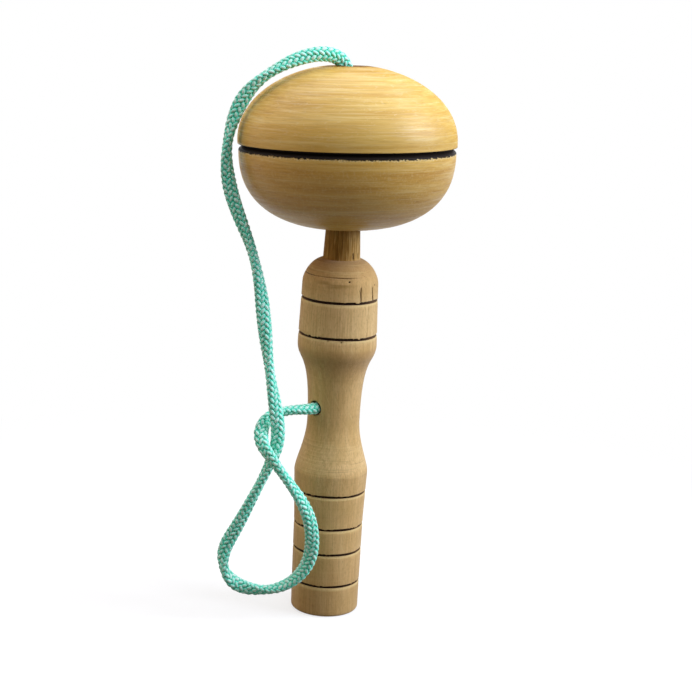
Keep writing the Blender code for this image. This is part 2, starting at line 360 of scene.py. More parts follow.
# %% Overhand knot
CORD_DIAMETER_MM = 5.3
KNOT_HEIGHT_MM, KNOT_CORD_MM, KNOT_LOOP_MM = 11.6, 4.3, 5.0
KNOT_POINTS, KNOT_SEED = 200, 12

knot_rise = KNOT_HEIGHT_MM / 2 - KNOT_CORD_MM / 2
step = np.linspace(0.0, math.tau, KNOT_POINTS)
knot_line = np.stack(
    [
        KNOT_LOOP_MM * (np.sin(step) + 2 * np.sin(2 * step)) / 3,
        KNOT_LOOP_MM * (np.cos(step) - 2 * np.cos(2 * step)) / 3,
        KNOT_HEIGHT_MM / 2 - knot_rise * np.sin(3 * step),
    ],
    axis=1,
)
knot_size = np.full(KNOT_POINTS, KNOT_CORD_MM)
knot_lead = BRAID_LEAD_MM * KNOT_CORD_MM / CORD_DIAMETER_MM
knot = braided_tube(
    "stopper_knot", knot_line, carried_frame(knot_line), knot_size, knot_size, knot_lead, KNOT_SEED,
)
knot.matrix_world = HEAD_SEAT
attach(knot, "cord_end")
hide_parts("head_knot")
print("knot:", len(knot.data.polygons), "faces")

# %% [markdown]
# ## Turned wood as rings
# Both wooden pieces come off a lathe, so each is one outline swept round the axis. The Screw
# modifier would do that for a clean shape. The real pieces have torn edges, cracks and faint
# ridges, so the sweep goes ring by ring and its marks push every point in or out. Soft noise that
# closes on itself round the piece makes the marks uneven, and its seeds keep them the same in every
# run.

# %% Outlines and rings
TINY = 1e-9


def quarter(inner, outer, base, rise, fullness, points):
    """Quarter of a superellipse as (radius, height), from the outer radius at base to the inner."""
    arc = []
    for number in range(points):
        angle = math.pi / 2 * number / (points - 1)
        wide, high = math.cos(angle) ** (2 / fullness), math.sin(angle) ** (2 / fullness)
        arc.append((inner + (outer - inner) * wide, base + rise * high))
    return arc


def eased(start, end, start_handle, end_handle, points):
    """A Bezier between two (radius, height) points that leaves and arrives upright."""
    first, last = Vector(start), Vector(end)
    handles = first + Vector((0, start_handle)), last - Vector((0, end_handle))
    return [tuple(place) for place in interpolate_bezier(first, *handles, last, points)]


def rounding(centre, radius, first, last, points):
    """Arc of (radius, height) points about a centre, between two angles in degrees."""
    angles = np.radians(np.linspace(first, last, points))
    return [(centre[0] + radius * math.cos(a), centre[1] + radius * math.sin(a)) for a in angles]


def refined(outline, step, fine_step=None, fine_heights=(), fine_reach=0.0):
    """The outline with its points at most a step apart, and closer near heights with fine marks."""

    def split(points, longest, heights=None):
        out = [points[0]]
        for here, there in zip(points, points[1:]):
            middle = (here[1] + there[1]) / 2
            parts = 1
            if heights is None or any(abs(middle - mark) < fine_reach for mark in heights):
                parts = max(1, math.ceil(math.dist(here, there) / longest - TINY))
            for part in range(1, parts + 1):
                share = part / parts
                out.append(tuple(a + (b - a) * share for a, b in zip(here, there)))
        return out

    even = split(outline, step)
    return split(even, fine_step, fine_heights) if fine_step else even


print("outline helpers ready")

# %% Noise and sweep
NOISE_ROWS = 256


def smoothstep(share):
    """From 0 to 1 with a gentle start and end."""
    return share * share * (3 - 2 * share)


def soft_noise(around, along, cells, tall, seed):
    """Soft hills from 0 to 1: so many cells round the piece, and each so tall."""
    table = np.random.default_rng(seed).random((cells, NOISE_ROWS))
    across, along = around * cells, along / tall
    column, row = np.floor(across).astype(int), np.floor(along).astype(int)
    u, v = smoothstep(across - column), smoothstep(along - row)
    left, right = column % cells, (column + 1) % cells
    low, high = row % NOISE_ROWS, (row + 1) % NOISE_ROWS
    bottom = table[left, low] * (1 - u) + table[right, low] * u
    top = table[left, high] * (1 - u) + table[right, high] * u
    return bottom * (1 - v) + top * v


def patches(around, along, cells, tall, seed, gain, cut):
    """Patches of noise: zero under a cut, and one where the gain takes it high enough."""
    return np.clip(gain * soft_noise(around, along, cells, tall, seed) - cut, 0, 1)


def tool_ridges(around, height, pitch, drift, *cells):
    """Ridges of a tool from -1 to 1, at a pitch up the axis, with noise in their phase."""
    return np.sin(height * math.tau / pitch + drift * soft_noise(around, height, *cells))


def hump(distance, reach):
    """One at no distance, falling smoothly to zero at the reach."""
    return smoothstep(np.clip(1 - np.abs(distance) / reach, 0, 1))


def arc_from(turn, degrees, radius):
    """Distance round the piece from a place given in degrees."""
    gap = (turn - np.radians(degrees) + math.pi) % math.tau - math.pi
    return gap * radius


def swept(rings, turns, marks):
    """Corners of a sweep, ring after ring, moved by its marks, and the values that go with them."""
    radius = np.repeat(rings[:, 0], len(turns))
    height = np.repeat(rings[:, 1], len(turns))
    turn = np.tile(turns, len(rings))
    move, values = marks(turn, radius, height)
    slope = np.gradient(rings, axis=0)
    out = np.repeat(unit(np.stack([slope[:, 1], -slope[:, 0]], axis=1)), len(turns), axis=0)
    wide, high = radius + move * out[:, 0], height + move * out[:, 1]
    corners = np.stack([wide * np.cos(turn), wide * np.sin(turn), high], axis=1)
    return corners * MM, values


print("sweep helpers ready")

# %% [markdown]
# ## The handle's outline
# From the foot up: a grip that thickens slowly to a sharp rim, a cove above the rim, a long flare
# up to the barrel, a round shoulder and the tapered peg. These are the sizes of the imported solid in
# millimetres, with more points, because a render shows the corners of a coarse arc.

# %% Outline of the handle
AXIS_RADIUS = 0.4
FOOT_RADIUS, FOOT_ROUNDING, FOOT_POINTS = 14.1, 1.2, 7
GRIP_RADIUS, GRIP_TOP = 14.45, 40.0
RIM_RADIUS, RIM_HEIGHT = 15.2, 60.0
WAIST_RADIUS, WAIST_HEIGHT = 10.8, 82.0
BARREL_RADIUS, BARREL_BOTTOM = 16.2, 114.5
BARREL_TOP_RADIUS, BARREL_TOP = 15.45, 139.6
SHOULDER_RISE, SHOULDER_FULLNESS, SHOULDER_POINTS = 9.75, 1.65, 28
PEG_ROOT_RADIUS, PEG_ROOT = 7.55, BARREL_TOP + SHOULDER_RISE
PEG_TIP_RADIUS, PEG_TIP_ROUNDING, PEG_TIP_POINTS = 5.35, 1.6, 6
# lengths of the handles at the bottom and top of each Bezier, and its points
COVE_BEZIER, FLARE_BEZIER = (4.0, 9.5, 32), (29.0, 8.2, 44)
GRIP_LINES = (13.2, 27.2, 38.1, 52.4)
BARREL_LINES = (118.8, 133.4)
SHOULDER_LINE_HEIGHT = 143.5
FINE_HEIGHTS = (*GRIP_LINES, *BARREL_LINES, SHOULDER_LINE_HEIGHT)
HANDLE_STEP, FINE_STEP, FINE_REACH = 0.85, 0.13, 1.3

foot_centre = (FOOT_RADIUS - FOOT_ROUNDING, FOOT_ROUNDING)
tip_centre = (PEG_TIP_RADIUS - PEG_TIP_ROUNDING, PEG_TIP - PEG_TIP_ROUNDING)
rim, waist = (RIM_RADIUS, RIM_HEIGHT), (WAIST_RADIUS, WAIST_HEIGHT)
handle_outline = [(AXIS_RADIUS, 0.0)]
handle_outline += rounding(foot_centre, FOOT_ROUNDING, -90, 0, FOOT_POINTS)
handle_outline += [(GRIP_RADIUS, GRIP_TOP)]
handle_outline += eased(rim, waist, *COVE_BEZIER)
handle_outline += eased(waist, (BARREL_RADIUS, BARREL_BOTTOM), *FLARE_BEZIER)[1:]
handle_outline += quarter(
    PEG_ROOT_RADIUS, BARREL_TOP_RADIUS, BARREL_TOP,
    SHOULDER_RISE, SHOULDER_FULLNESS, SHOULDER_POINTS,
)
handle_outline += rounding(tip_centre, PEG_TIP_ROUNDING, 0, 90, PEG_TIP_POINTS)
handle_outline += [(AXIS_RADIUS, PEG_TIP)]
handle_rings = np.array(refined(handle_outline, HANDLE_STEP, FINE_STEP, FINE_HEIGHTS, FINE_REACH))
print("handle outline:", len(handle_outline), "points,", len(handle_rings), "rings")

# %% [markdown]
# ## The handle's marks
# Six lines are burnt into the handle with a thin tool, and a fainter one is cut in the shoulder.
# Torn fibres hang into the burnt lines from above, and the edge below each is worn down to a lip,
# which the finish paints pale as a painted highlight.
# The barrel has a torn brown patch and cracks, and the peg is splintered at its root. All of these
# are depths below the clean surface, so one function adds them up at every point and keeps the
# parts that the finish colours.

# %% Marks on the handle
HANDLE_TURNS = 186
BARREL_LINE_HALF, GRIP_LINE_HALF, SHOULDER_LINE_HALF = 0.66, 0.58, 0.34
LINE_DEPTH, LINE_STEEPNESS, SHOULDER_LINE_DEPTH = 0.75, 1.7, 0.16
LIP_DEPTH, LIP_DROP, LIP_REACH = 0.13, 0.3, 0.7
WAVER_MM, TOOTH_SHARE = 0.16, 0.8
CRACKS = (
    # turn at the top and bottom in degrees, height of the top and bottom, half width, depth
    (303.5, 303.8, 140.2, 133.6, 0.28, 0.55),
    (327.6, 330.4, 139.8, 133.2, 0.40, 0.70),
    (319.4, 317.3, 132.6, 119.0, 0.17, 0.22),
    (300.4, 301.8, 140.0, 137.2, 0.22, 0.30),
    (271.0, 272.4, 118.2, 114.8, 0.24, 0.16),
    (277.5, 276.0, 132.6, 129.0, 0.16, 0.14),
    (308.5, 309.8, 153.0, 149.4, 0.40, 0.50),
    (332.3, 332.6, 152.4, 149.4, 0.40, 0.50),
    (345.4, 341.4, 155.0, 151.0, 0.30, 0.40),
)
LONG_CRACKS = CRACKS[:3]
CRACK_OFFSETS = np.arange(-0.8, 0.81, 0.16)
CRACK_WANDER, CRACK_BEND, CRACK_END = 0.22, 1.3, 0.8
PITS = (
    # turn in degrees, height, half width, half height, depth
    (284.7, 142.2, 0.75, 0.62, 0.55),
    (335.7, 140.2, 0.60, 0.95, 0.45),
    (313.1, 144.1, 0.40, 0.30, 0.30),
    (256.4, 118.0, 0.80, 0.55, 0.30),
    (276.1, 117.8, 0.80, 0.60, 0.35),
)
TORN_PATCH, TORN_STEEPNESS, TORN_DEPTH = (261.0, 140.7, 10.5, 1.9), 1.8, 0.07
# turn in degrees, reach, gain, least value
BURN_SIDE = (266.0, math.radians(100), 1.5, 0.35)
SHOULDER_LINE_SIDE = (238.0, math.radians(105), 1.7, 0.15)
# cells round the handle, height of a cell, seed, and for patches the gain and the cut
WAVER, SHOULDER_PATCHES, SWELL = (9, 1, 21), (14, 1, 24), (5, 17, 27)
RAGGED, TEETH = (11, 1, 22, 2.4, 0.8), (120, 1, 23, 2.8, 1.1)
TORN_FIBRES = (15, 0.55, 25, 2.2, 0.45)
# pitch and drift, then the cells
HANDLE_RIDGES = (3.1, 6, 2, 9, 26)
SWELL_MM, RIDGE_MM, SUNK_MM, CALM_PEG = 0.10, 0.012, 0.02, 0.2
print("marks:", len(CRACKS), "cracks and", len(PITS), "pits")


# %% Depth of the marks
def handle_turns():
    """Angles round the handle: even ones, and a close group round each long crack."""
    angles = list(np.arange(HANDLE_TURNS) / HANDLE_TURNS * math.tau)
    for top, bottom, *_ in LONG_CRACKS:
        middle = math.radians((top + bottom) / 2)
        angles += [middle + offset / BARREL_RADIUS for offset in CRACK_OFFSETS]
    return np.array(sorted(set(np.round(np.array(angles) % math.tau, 6))))


def one_sided(turn, degrees, reach, gain, least):
    """One on one side of the handle, and a least value away from it."""
    return np.clip(gain * hump(arc_from(turn, degrees, 1.0), reach), least, 1)


def oval_distance(turn, radius, height, degrees, level, half, tall):
    """Distance from the middle of an oval mark, one at its rim."""
    return np.hypot(arc_from(turn, degrees, radius) / half, (height - level) / tall)


def burnt_line(around, height, line, half, number):
    """Depth of one burnt line, and of the worn lip below it."""
    level = np.full_like(height, number)
    below = line + WAVER_MM * (soft_noise(around, level, *WAVER) - 0.5) - height
    torn = patches(around, level, *RAGGED) * patches(around, level, *TEETH)
    edge = np.where(below < 0, half * (1 - TOOTH_SHARE * torn), half)
    depth = LINE_DEPTH * np.clip(LINE_STEEPNESS * (1 - np.abs(below) / edge), 0, 1)
    return depth, hump(below - half - LIP_DROP, LIP_REACH)


def crack(turn, radius, height, top_turn, low_turn, top, low, half, depth):
    """Depth of one crack that wanders down from its top."""
    share = np.clip((top - height) / (top - low), 0, 1)
    wander = soft_noise(turn / math.tau, height, 1, CRACK_BEND, int(top_turn)) - 0.5
    away = arc_from(turn, top_turn + (low_turn - top_turn) * share, radius) + CRACK_WANDER * wander
    inside = np.clip(np.minimum(top - height, height - low) / CRACK_END, 0, 1)
    return depth * np.clip(1 - np.abs(away) / half, 0, 1) * inside


def handle_marks(turn, radius, height):
    """How far each point moves out, in millimetres, and the marks that the finish colours."""
    around = turn / math.tau
    cut, lip = np.zeros_like(height), np.zeros_like(height)
    lines = [(line, GRIP_LINE_HALF) for line in GRIP_LINES]
    lines += [(line, BARREL_LINE_HALF) for line in BARREL_LINES]
    for number, (line, half) in enumerate(lines):
        line_cut, line_lip = burnt_line(around, height, line, half, number)
        cut, lip = np.maximum(cut, line_cut), np.maximum(lip, line_lip)
    line = np.clip(1 - np.abs(height - SHOULDER_LINE_HEIGHT) / SHOULDER_LINE_HALF, 0, 1)
    line *= one_sided(turn, *SHOULDER_LINE_SIDE)
    line *= SHOULDER_LINE_DEPTH * (1 + soft_noise(around, np.zeros_like(height), *SHOULDER_PATCHES))
    cut = np.maximum(cut, line)
    for mark in CRACKS:
        cut = np.maximum(cut, crack(turn, radius, height, *mark))
    for *oval, depth in PITS:
        cut = np.maximum(cut, depth * hump(oval_distance(turn, radius, height, *oval), 1.0))
    away = oval_distance(turn, radius, height, *TORN_PATCH)
    torn = np.clip(TORN_STEEPNESS * (1 - away), 0, 1) * patches(around, height, *TORN_FIBRES)
    swell = soft_noise(around, height, *SWELL) - 0.5
    ridge = tool_ridges(around, height, *HANDLE_RIDGES)
    soft = SWELL_MM * swell + RIDGE_MM * ridge - SUNK_MM
    soft *= np.clip(radius / PEG_ROOT_RADIUS - CALM_PEG, 0, 1)
    out = np.minimum(soft, 0.0) - cut - LIP_DEPTH * lip - TORN_DEPTH * torn
    return out, {"cut": cut, "lip": lip, "torn": torn, "burn": one_sided(turn, *BURN_SIDE)}


turns = handle_turns()
print("marks on", len(turns), "points round the handle")

# %% Sweep the handle
corners, values = swept(handle_rings, turns, handle_marks)
faces = ring_faces(len(handle_rings), len(turns))
handle = new_piece("turned_handle", corners, faces, values)
print("turned handle:", len(handle.data.polygons), "faces")

# %% [markdown]
# ## The cord's hole in the handle
# The cord is glued into a blind hole in the waist. The hole could be painted as a dark spot, but
# its wall shows beside the cord, so a rod is taken away with a Boolean, which is then applied so
# that the handle stays one plain mesh.

# %% Drill the hole
HOLE_HEIGHT, HOLE_AZIMUTH = 88.1, math.radians(225)
HOLE_RADIUS, HOLE_DEPTH = CORD_DIAMETER_MM / 2 + 0.5, 10.6
HOLE_SIDES = 64

surface = float(np.interp(HOLE_HEIGHT, handle_rings[:, 1], handle_rings[:, 0]))
long = HOLE_DEPTH + surface
outward = Vector((math.cos(HOLE_AZIMUTH), math.sin(HOLE_AZIMUTH), 0))
place = outward * (surface - HOLE_DEPTH + long / 2) + Vector((0, 0, HOLE_HEIGHT))
bpy.ops.mesh.primitive_cylinder_add(
    vertices=HOLE_SIDES, radius=HOLE_RADIUS * MM, depth=long * MM, location=place * MM,
    rotation=(0, math.pi / 2, HOLE_AZIMUTH),
)
rod = bpy.context.object
hole = handle.modifiers.new("Cord hole", "BOOLEAN")
hole.operation = "DIFFERENCE"
hole.object = rod
evaluated = handle.evaluated_get(bpy.context.evaluated_depsgraph_get())
handle.data = bpy.data.meshes.new_from_object(evaluated)
handle.modifiers.clear()
bpy.data.objects.remove(rod, do_unlink=True)
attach(handle, "handle")
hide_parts("handle")
print("handle with its hole:", len(handle.data.polygons), "faces")

# %% [markdown]
# ## The head
# The head is a flattened ball in two halves of slightly different outline, with a V-shaped groove
# between them, a socket bored from below and a hole through the top with a wide rounded mouth. One
# closed outline holds all of it. The groove's upper edge is crisp, and the lower one is softened
# under the paint.

# %% Outline of the head
UPPER_RADIUS, UPPER_RISE, UPPER_LIP, UPPER_FULLNESS = 43.7, 29.5, 3.1, 2.0
LOWER_RADIUS, LOWER_DROP, LOWER_FULLNESS = 43.3, 32.4, 2.5
GROOVE_TOP, GROOVE_BOTTOM, GROOVE_DEPTH, GROOVE_DEEPEST = 1.1, -1.1, 2.0, 0.4
# how far in from the radius and up from the groove the corners of its edges lie
UPPER_EDGE = ((0.0, 0.2), (0.06, 0.06), (0.2, 0.0))
LOWER_EDGE = ((0.25, 0.35), (0.07, 0.05), (0.0, -0.35))
LOWER_EDGE_END = -0.4
SOCKET_RADIUS, SOCKET_DEPTH, SOCKET_ROUNDING, CEILING_ROUNDING = 13.4, 46.85, 1.7, 3.0
BORE_RADIUS = CORD_DIAMETER_MM / 2 + 0.6
MOUTH_RADIUS, MOUTH_ROUNDING = 8.4, 9.5
HALF_POINTS, CORNER_POINTS, BELL_POINTS = 72, 9, 14
HEAD_STEP, HEAD_FINE_STEP, HEAD_FINE_REACH, SOCKET_STEP = 0.8, 0.2, 2.4, 1.3

rim_radius = SOCKET_RADIUS + SOCKET_ROUNDING
rim_share = (1 - (rim_radius / LOWER_RADIUS) ** LOWER_FULLNESS) ** (1 / LOWER_FULLNESS)
rim_drop = -LOWER_DROP * rim_share
ceiling = rim_drop + SOCKET_DEPTH
HEAD_MIDDLE = KNOT_HEIGHT_MM + SEAT_GAP - ceiling
mouth_rise = UPPER_LIP + UPPER_RISE * math.sqrt(1 - (MOUTH_RADIUS / UPPER_RADIUS) ** 2)
bell_radius = BORE_RADIUS + MOUTH_ROUNDING
bell_open = math.acos((bell_radius - MOUTH_RADIUS) / MOUTH_ROUNDING)
bell_rise = mouth_rise - MOUTH_ROUNDING * math.sin(bell_open)
bell_end = 180 - math.degrees(bell_open)

dome = quarter(0.0, UPPER_RADIUS, UPPER_LIP, UPPER_RISE, UPPER_FULLNESS, HALF_POINTS)
bowl = quarter(0.0, LOWER_RADIUS, 0.0, -LOWER_DROP, LOWER_FULLNESS, HALF_POINTS)
bowl_top = GROOVE_BOTTOM + LOWER_EDGE_END
outside = [(MOUTH_RADIUS, mouth_rise)] + [place for place in dome[::-1] if place[0] > MOUTH_RADIUS]
outside += [(UPPER_RADIUS - inward, GROOVE_TOP + up) for inward, up in UPPER_EDGE]
outside += [(UPPER_RADIUS - GROOVE_DEPTH, GROOVE_DEEPEST)]
outside += [(LOWER_RADIUS - inward, GROOVE_BOTTOM + up) for inward, up in LOWER_EDGE]
outside += [place for place in bowl if place[0] > rim_radius and place[1] < bowl_top]
rim_centre = (rim_radius, rim_drop + SOCKET_ROUNDING)
corner = (SOCKET_RADIUS - CEILING_ROUNDING, ceiling - CEILING_ROUNDING)
inside = rounding(rim_centre, SOCKET_ROUNDING, 270, 180, CORNER_POINTS)
inside += rounding(corner, CEILING_ROUNDING, 0, 90, CORNER_POINTS) + [(BORE_RADIUS, ceiling)]
inside += rounding((bell_radius, bell_rise), MOUTH_ROUNDING, 180, bell_end, BELL_POINTS)
outside_rings = refined(outside, HEAD_STEP, HEAD_FINE_STEP, (0.0,), HEAD_FINE_REACH)
inside_rings = refined(inside, SOCKET_STEP)[:-1]
head_rings = np.array(outside_rings + inside_rings) + np.array((0.0, HEAD_MIDDLE))
print("head: groove", round(HEAD_MIDDLE, 2), "mm from the seat,", len(head_rings), "rings")

# %% [markdown]
# ## The head's surface
# Under the lacquer the tool's ridges are almost gone. What is left is a slow unevenness that makes
# the highlights wander. It is too broad for a bump texture, so it moves the points of the sweep.
# The socket's wall is rougher, because a drill made it and nobody sanded it.

# %% Sweep the head
HEAD_TURNS = 240
# cells round the head, height of a cell, seed
HEAD_SWELL, HEAD_SMALL_SWELL = (7, 13, 31), (16, 6, 32)
# pitch and drift, then the cells
DRILL_RIDGES = (1.1, 4, 4, 5, 33)
SMALL_SWELL_SHARE = 0.5
MEAN_SWELL = (1 + SMALL_SWELL_SHARE) / 2
HEAD_SWELL_MM, HEAD_RIDGE_MM, HEAD_SUNK_MM, DRILL_RIDGE_MM = 0.10, 0.006, 0.06, 0.03
WALL_SLACK = 0.05


def head_marks(turn, radius, height):
    """How far each point moves out: soft unevenness outside and drill ridges in the socket."""
    around = turn / math.tau
    swell = soft_noise(around, height, *HEAD_SWELL) - MEAN_SWELL
    swell += SMALL_SWELL_SHARE * soft_noise(around, height, *HEAD_SMALL_SWELL)
    ridge = tool_ridges(around, height, *DRILL_RIDGES)
    outer = HEAD_SWELL_MM * swell + HEAD_RIDGE_MM * ridge - HEAD_SUNK_MM
    return np.where(radius < SOCKET_RADIUS + WALL_SLACK, DRILL_RIDGE_MM * ridge, outer), {}


head_turns = np.arange(HEAD_TURNS) / HEAD_TURNS * math.tau
corners, _ = swept(head_rings, head_turns, head_marks)
faces = [face[::-1] for face in ring_faces(len(head_rings), HEAD_TURNS, closed=True)]
head = new_piece("turned_head", corners, faces)
head.matrix_world = HEAD_SEAT
inner_faces = (len(outside_rings) - 1) * HEAD_TURNS
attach(head, "head")
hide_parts("head")
print("turned head:", len(head.data.polygons), "faces")

# %% [markdown]
# ## Building finishes from nodes
# Every finish is a tree of shader nodes. They could be wired by hand in the editor. A small class
# does it in code instead: it places a node, sets or links its inputs and hands back an output.


# %% Node helpers
class Nodes:
    """Builds one node tree."""

    def __init__(self, tree):
        self.tree = tree

    def fill(self, placed, sockets):
        """Set or link the inputs of a node, by their names or numbers."""
        for title, value in sockets.items():
            socket = placed.inputs[title]
            if isinstance(value, bpy.types.NodeSocket):
                self.tree.links.new(value, socket)
            else:
                socket.default_value = (*value, 1.0) if socket.type == "RGBA" else value
        return placed

    def node(self, kind, sockets=None, **settings):
        """Place a shader node."""
        placed = self.tree.nodes.new("ShaderNode" + kind)
        for title, value in settings.items():
            setattr(placed, title, value)
        return self.fill(placed, sockets or {})

    def sums(self, operation, *numbers, clamp=False):
        """One sum on numbers or links."""
        sockets = dict(enumerate(numbers))
        return self.node("Math", sockets, operation=operation, use_clamp=clamp).outputs[0]

    def span(self, value, low, high, first=0.0, last=1.0, kind="SMOOTHSTEP"):
        """A value spread from one range to another and held at its ends."""
        sockets = {0: value, 1: low, 2: high, 3: first, 4: last}
        return self.node("MapRange", sockets, interpolation_type=kind, clamp=True).outputs[0]

    def shades(self, value, stops):
        """A colour ramp: rows of a place and a colour."""
        ramp = self.node("ValToRGB", {0: value})
        band = ramp.color_ramp
        while len(band.elements) < len(stops):
            band.elements.new(0.5)
        for element, (place, colour) in zip(band.elements, stops):
            element.position = place
            element.color = (*colour, 1.0)
        return ramp.outputs[0]

    def vector(self, x, y, z):
        """A vector of three values."""
        return self.node("CombineXYZ", {0: x, 1: y, 2: z}).outputs[0]

    def scaled(self, operation, place, sizes):
        """A place multiplied or divided by a size along each axis."""
        return self.node("VectorMath", {0: place, 1: sizes}, operation=operation).outputs[0]

    def length(self, place):
        """How far a place lies from the origin."""
        return self.node("VectorMath", {0: place}, operation="LENGTH").outputs["Value"]

    def noise(self, place, scale, detail, roughness=0.55, distortion=0.0, size=None):
        """Soft noise from 0 to 1, stretched by a size along each axis."""
        if size:
            place = self.scaled("DIVIDE", place, size)
        sockets = {"Vector": place, "Scale": scale, "Detail": detail, "Roughness": roughness}
        return self.node("TexNoise", {**sockets, "Distortion": distortion}).outputs[0]


print("node helpers ready")

# %% [markdown]
# ## Finishes as tables of layers
# A finish is a first colour with others laid over it, each by a mask. Wiring every mask in code
# hides the recipe, so the values have names and a table lists the layers. A row has a colour and
# the spans whose product is its mask. A span is a value's name, its range and the results at both
# ends.

# %% Layers
LINEAR = "LINEAR"
# the painted shade on the head's lower half is multiplied over the colour
BLENDS = {"painted shade on lower half": "MULTIPLY"}


class LayeredNodes(Nodes):
    """Nodes that keep their values under names, for tables of layers."""

    def __init__(self, tree):
        super().__init__(tree)
        self.values = {}

    def keep_noises(self, place, rows):
        """Keep noises at a place under their names."""
        self.values |= {title: self.noise(place, *row) for title, row in rows.items()}

    def keep_stored(self, *titles):
        """Keep values that the mesh carries under their names."""
        for title in titles:
            self.values[title] = self.node("Attribute", attribute_name=title).outputs["Fac"]

    def weighted(self, *terms):
        """Named values times their weights, added up."""
        total = 0.0
        for title, weight in terms:
            total = self.sums("MULTIPLY_ADD", self.values[title], weight, total)
        return total

    def shaken(self, title, noise, amount):
        """A named value moved up and down by a named noise."""
        swing = self.sums("SUBTRACT", self.values[noise], 0.5)
        return self.sums("MULTIPLY_ADD", swing, amount, self.values[title])

    def mask(self, *spans):
        """The product of named values, each of them spread if its row has a range."""
        product = None
        for title, *numbers in spans:
            value = self.values[title]
            value = self.span(value, *numbers) if numbers else value
            product = value if product is None else self.sums("MULTIPLY", product, value)
        return product

    def layered(self, colour, layers):
        """Lay colours over a first one, each by its own mask."""
        for title, (top, *spans) in layers.items():
            sockets = {0: self.mask(*spans), 6: colour, 7: self.values.get(top, top)}
            blend = BLENDS.get(title, "MIX")
            placed = self.node("Mix", sockets, data_type="RGBA", blend_type=blend, label=title)
            colour = placed.outputs[2]
        return colour


def new_finish(name):
    """A material, its nodes, its Principled shader and the place on the piece in millimetres."""
    material = bpy.data.materials.new(name)
    material.use_nodes = True
    nodes = LayeredNodes(material.node_tree)
    place = nodes.node("TexCoord").outputs["Object"]
    place = nodes.node("VectorMath", {0: place, "Scale": 1 / MM}, operation="SCALE").outputs[0]
    return material, nodes, material.node_tree.nodes["Principled BSDF"], place


print("layer helpers ready")

# %% [markdown]
# ## Grain and turning lines, as groups
# Both woods show grain: long streaks, fine fibres and short dark pores. It runs up the handle and
# across the head, so a node group makes it along the first axis, and each wood turns its own place
# to suit. A lathe leaves rings as well, which waver and come and go. Wave textures are too even for
# them, so a second group makes them from noise that changes fast with height and slowly round the
# piece.

# %% Groups
# noises: scale, detail, roughness, distortion
STREAK_NOISE, FIBRE_NOISE, PORE_NOISE = (1.0, 6.0, 0.62, 0.35), (1.0, 4.0, 0.6), (1.0, 1.0, 0.4)
RIDGE_NOISE, LINE_NOISE = (1.0, 3.0, 0.6), (1.0, 2.0, 0.5)
FIBRES_FINER, PORES_FINER, LINES_SPARSER = (1.6, 5.0, 5.0), (9.0, 7.0, 7.0), (0.8, 0.8, 0.45)
PORE_RANGE, LINE_RANGE = (0.64, 0.76), (0.60, 0.72)
RING_WAVER = 26.0


def new_group(name, numbers, outputs):
    """A node group that is given a place and some numbers: its nodes, inputs and output node."""
    tree = bpy.data.node_groups.new(name, "ShaderNodeTree")
    tree.interface.new_socket("Place", in_out="INPUT", socket_type="NodeSocketVector")
    for way, titles in (("INPUT", numbers), ("OUTPUT", outputs)):
        for title in titles:
            tree.interface.new_socket(title, in_out=way, socket_type="NodeSocketFloat")
    given = tree.nodes.new("NodeGroupInput").outputs
    return Nodes(tree), given, tree.nodes.new("NodeGroupOutput")


def grain_group():
    """Streaks, fibres and pores stretched along the first axis of the place they are given."""
    sizes = ("Along", "Across", "Through")
    nodes, given, out = new_group("wood_grain", sizes, ("Streak", "Fibre", "Pore"))
    lengths = nodes.vector(*(given[title] for title in sizes))
    streaks = nodes.scaled("DIVIDE", given["Place"], lengths)
    fibres = nodes.scaled("MULTIPLY", streaks, FIBRES_FINER)
    pores = nodes.scaled("MULTIPLY", streaks, PORES_FINER)
    nodes.fill(out, {
        "Streak": nodes.noise(streaks, *STREAK_NOISE),
        "Fibre": nodes.noise(fibres, *FIBRE_NOISE),
        "Pore": nodes.span(nodes.noise(pores, *PORE_NOISE), *PORE_RANGE),
    })
    return nodes.tree


def turning_group():
    """Rings by height: a height for bump and a mask of the few that are dark."""
    nodes, given, out = new_group("turning_lines", ("Pitch",), ("Ridge", "Line"))
    sizes = nodes.vector(RING_WAVER, RING_WAVER, given["Pitch"])
    rings = nodes.scaled("DIVIDE", given["Place"], sizes)
    sparse = nodes.scaled("MULTIPLY", rings, LINES_SPARSER)
    nodes.fill(out, {
        "Ridge": nodes.noise(rings, *RIDGE_NOISE),
        "Line": nodes.span(nodes.noise(sparse, *LINE_NOISE), *LINE_RANGE),
    })
    return nodes.tree


def keep_wood(nodes, place, along_grain, sizes, pitch):
    """Keep what both groups give as values: streak, fibre, pore, ridge and line."""
    grain = nodes.node("Group", {"Place": along_grain, **sizes}, node_tree=WOOD_GRAIN)
    rings = nodes.node("Group", {"Place": place, "Pitch": pitch}, node_tree=TURNING_LINES)
    for output in (*grain.outputs, *rings.outputs):
        nodes.values[output.name.lower()] = output


WOOD_GRAIN, TURNING_LINES = grain_group(), turning_group()
for group in (WOOD_GRAIN, TURNING_LINES):
    print("group", group.name, "with", len(group.nodes), "nodes")

# %% [markdown]
# ## Bare wood
# The handle is pale, close-grained wood with nothing on it. It is matte with a soft sheen and paler
# on the barrel. Painted shade makes it browner low on the grip, on the shoulder under the head and
# on the flare under the barrel, and painted light makes the cove paler, where it faces up to the
# lamps. The peg is streaky, where the socket has rubbed it, and it is painted lighter towards its
# right side and its left edge as painted light. The lips below the burnt lines are painted pale as
# painted highlights. Burnt lines and cracks are dark by the depth that the mesh carries, and a
# little noise breaks up their edges, finer than the mesh could.

